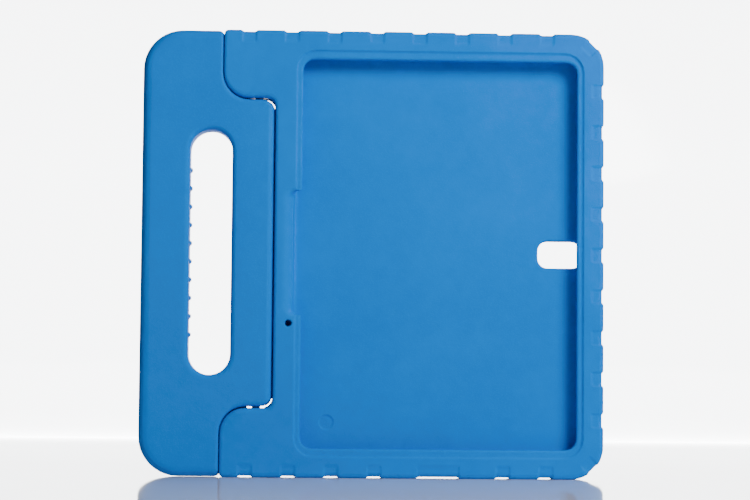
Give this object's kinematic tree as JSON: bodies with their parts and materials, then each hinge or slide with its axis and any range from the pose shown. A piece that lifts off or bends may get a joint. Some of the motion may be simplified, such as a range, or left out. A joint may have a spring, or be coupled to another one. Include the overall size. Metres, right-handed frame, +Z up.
{
  "type": "tablet case",
  "caption": "Soft foam case for a tablet, with a retaining lip, a grooved rim and a carry handle that swings back on two hinge pins to prop the case up.",
  "frame": {"origin": "bottom centre of the bounding box, on the surface the case stands on", "axes": "+X to the right across the case, away from the handle; +Y to the back, away from the tablet's screen; +Z up along the tablet's long side"},
  "size_m": [0.2806, 0.02, 0.271],
  "materials": {
    "case_foam": "matt closed-cell foam, bright blue",
    "handle_foam": "matt closed-cell foam, bright blue",
    "sleeve_plastic": "moulded, dark",
    "pin_plastic": "smooth, pale"
  },
  "bodies": {
    "case": {"case_body": "case_foam", "ear_sleeve_upper": "sleeve_plastic", "ear_sleeve_lower": "sleeve_plastic"},
    "carry_handle": {"handle": "handle_foam", "handle_sleeve_upper": "sleeve_plastic", "handle_sleeve_lower": "sleeve_plastic", "hinge_pin_upper": "pin_plastic", "hinge_pin_lower": "pin_plastic"}
  },
  "joints": [
    {"name": "handle_swing", "type": "hinge", "parent": "case", "child": "carry_handle", "pos_m": [-0.0698, 0, 0.1355], "axis": [0, 0, -1], "range_deg": [0, 90]}
  ]
}
